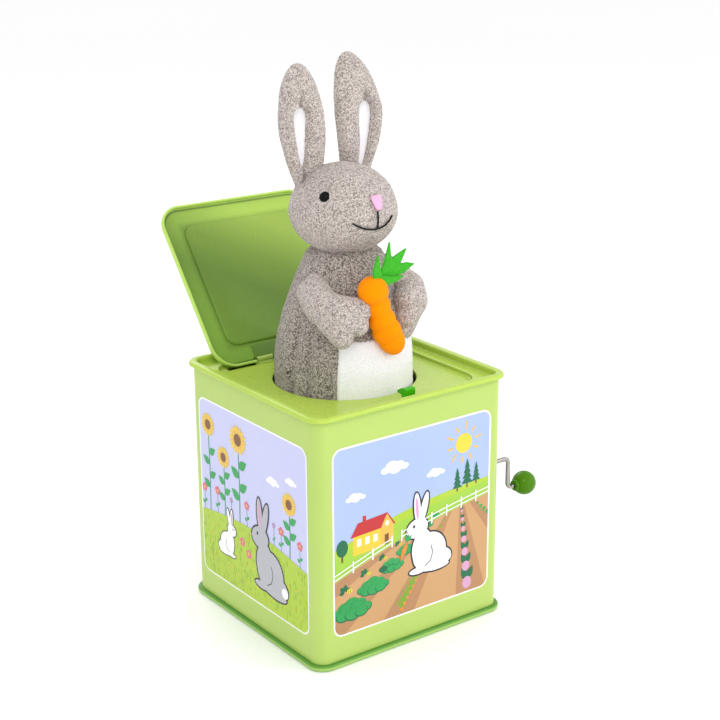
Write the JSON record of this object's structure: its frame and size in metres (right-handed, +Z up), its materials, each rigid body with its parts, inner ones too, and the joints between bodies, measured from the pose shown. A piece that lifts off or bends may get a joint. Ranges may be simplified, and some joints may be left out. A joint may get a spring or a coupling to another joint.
{
  "type": "jack in the box",
  "caption": "Tin box with a hinged lid and a hand crank; a plush rabbit holding a carrot stands on a spring in its round opening.",
  "frame": {"origin": "middle of the box's underside", "axes": "+Z up, the front of the box and the rabbit's face to -Y, the crank on +X, the lid's hinge at +Y"},
  "size_m": [0.1822, 0.1964, 0.341],
  "materials": {
    "tin_green": "glossy litho enamel on tinplate",
    "tin_green_dark": "glossy enamel",
    "bright_steel": "polished wire",
    "plain_steel": "satin",
    "brass": "satin",
    "green_plastic": "gloss",
    "latch_plastic": "gloss",
    "fibreboard": "matt pressed board",
    "white_plastic": "matt",
    "grey_plush": "heather terry plush",
    "white_plush": "short white plush",
    "orange_felt": "brushed felt",
    "green_felt": "pressed felt",
    "pink_thread": "satin stitch",
    "black_thread": "embroidery thread",
    "black_plastic": "gloss"
  },
  "bodies": {
    "box": {"base_panel": "tin_green_dark", "box_body": "tin_green", "top_panel": "tin_green", "deck_hinge_leaf": "tin_green", "hinge_pin": "plain_steel", "latch_bracket": "plain_steel", "latch_pin": "plain_steel", "latch_spring": "plain_steel", "crank_bush": "brass", "movement_frame": "plain_steel", "movement_screws": "plain_steel", "music_comb": "plain_steel", "comb_screws": "plain_steel", "spring_board": "fibreboard", "spring_clips": "plain_steel"},
    "lid": {"lid_panel": "tin_green", "lid_hinge_leaf": "tin_green"},
    "puppet": {"head": "grey_plush", "left_eye": "black_plastic", "right_eye": "black_plastic", "nose": "pink_thread", "mouth_stitch": "black_thread", "left_ear": "grey_plush", "right_ear": "grey_plush", "left_ear_lining": "white_plush", "right_ear_lining": "white_plush", "left_arm": "grey_plush", "right_arm": "grey_plush", "carrot": "orange_felt", "carrot_leaves": "green_felt", "tunic": "grey_plush", "belly_patch": "white_plush", "neck_plate": "white_plastic", "puppet_spring": "plain_steel"},
    "latch": {"latch_lever": "latch_plastic"},
    "crank": {"crank_wire": "bright_steel", "crank_clip": "plain_steel", "crank_pinion": "brass"},
    "knob": {"crank_knob": "green_plastic"},
    "drum": {"drum_arbor": "plain_steel", "drum_gear": "brass", "pin_drum": "brass", "trip_cam": "white_plastic"}
  },
  "joints": [
    {"name": "puppet_pop", "type": "slide", "parent": "box", "child": "puppet", "axis": [0, 0, 1], "range_m": [-0.157, 0], "stiffness_N_per_m": 60, "springref_m": 0.06, "deforming": ["left_ear", "right_ear", "left_ear_lining", "right_ear_lining", "left_arm", "right_arm", "carrot", "carrot_leaves", "tunic", "belly_patch", "puppet_spring"]},
    {"name": "lid_hinge", "type": "hinge", "parent": "box", "child": "lid", "pos_m": [0, 0.0542, 0.151], "axis": [1, 0, 0], "range_deg": [0, 129]},
    {"name": "latch_release", "type": "hinge", "parent": "box", "child": "latch", "pos_m": [0, -0.0597, 0.118], "axis": [1, 0, 0], "range_deg": [0, 6], "stiffness_Nm_per_rad": 0.05, "springref_deg": -5.73},
    {"name": "crank_spin", "type": "hinge", "parent": "box", "child": "crank", "pos_m": [0.0685, -0.051, 0.09], "axis": [1, 0, 0], "continuous": true},
    {"name": "knob_spin", "type": "hinge", "parent": "crank", "child": "knob", "pos_m": [0.103, -0.051, 0.07], "axis": [1, 0, 0], "continuous": true},
    {"name": "drum_spin", "type": "hinge", "parent": "box", "child": "drum", "pos_m": [0.0362, -0.054, 0.07732], "axis": [1, 0, 0], "continuous": true}
  ],
  "couplings": [
    {"joint": "lid_hinge", "follows": "puppet_pop", "rad_per_m": -14.341},
    {"joint": "drum_spin", "follows": "crank_spin", "ratio": -0.36842}
  ]
}
